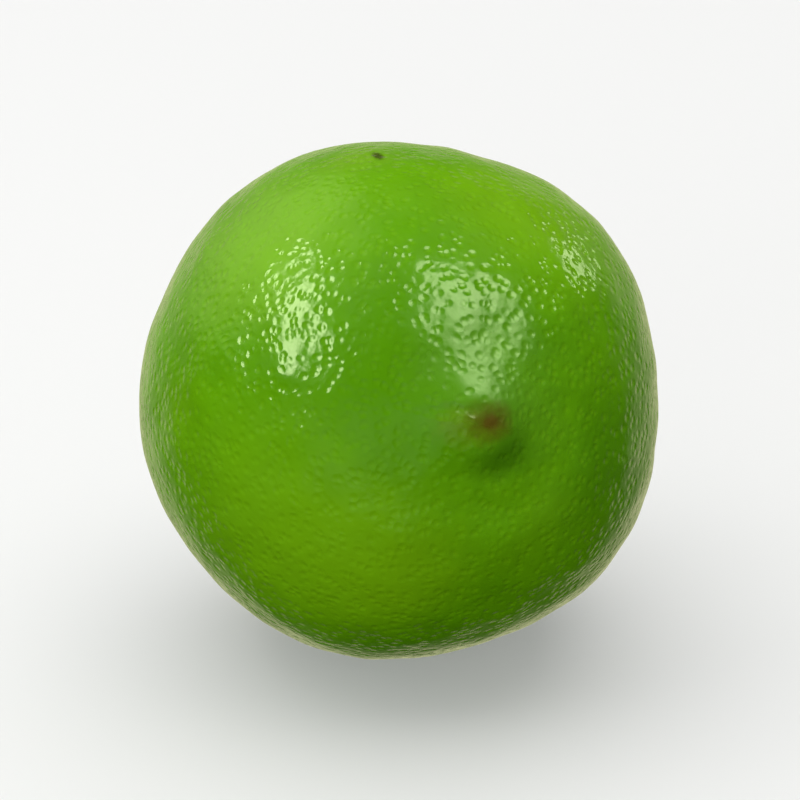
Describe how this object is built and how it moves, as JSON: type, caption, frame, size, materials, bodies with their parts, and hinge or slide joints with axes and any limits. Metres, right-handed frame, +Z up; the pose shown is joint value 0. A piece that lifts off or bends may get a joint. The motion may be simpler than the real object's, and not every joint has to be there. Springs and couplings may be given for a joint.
{
  "type": "lime",
  "caption": "Whole green lime, nearly round, with glossy pebbled peel, a low nipple and scar at the blossom end and a dry button at the stem end. It rests on its side on a small flat spot.",
  "frame": {"origin": "on the surface that the fruit rests on, under the middle of its bounding box", "axes": "+Z up; the long axis lies in the YZ plane, with the blossom end facing -Y and leaning up by 18.7 degrees and the stem end facing +Y; +X to the right, seen from the blossom end"},
  "size_m": [0.0516, 0.0554, 0.0516],
  "materials": {
    "lime_peel": "glossy waxy peel, pebbled with oil glands, mid green with faint yellower patches and a small brown scar"
  },
  "bodies": {
    "root": {"lime": "lime_peel"}
  },
  "joints": []
}
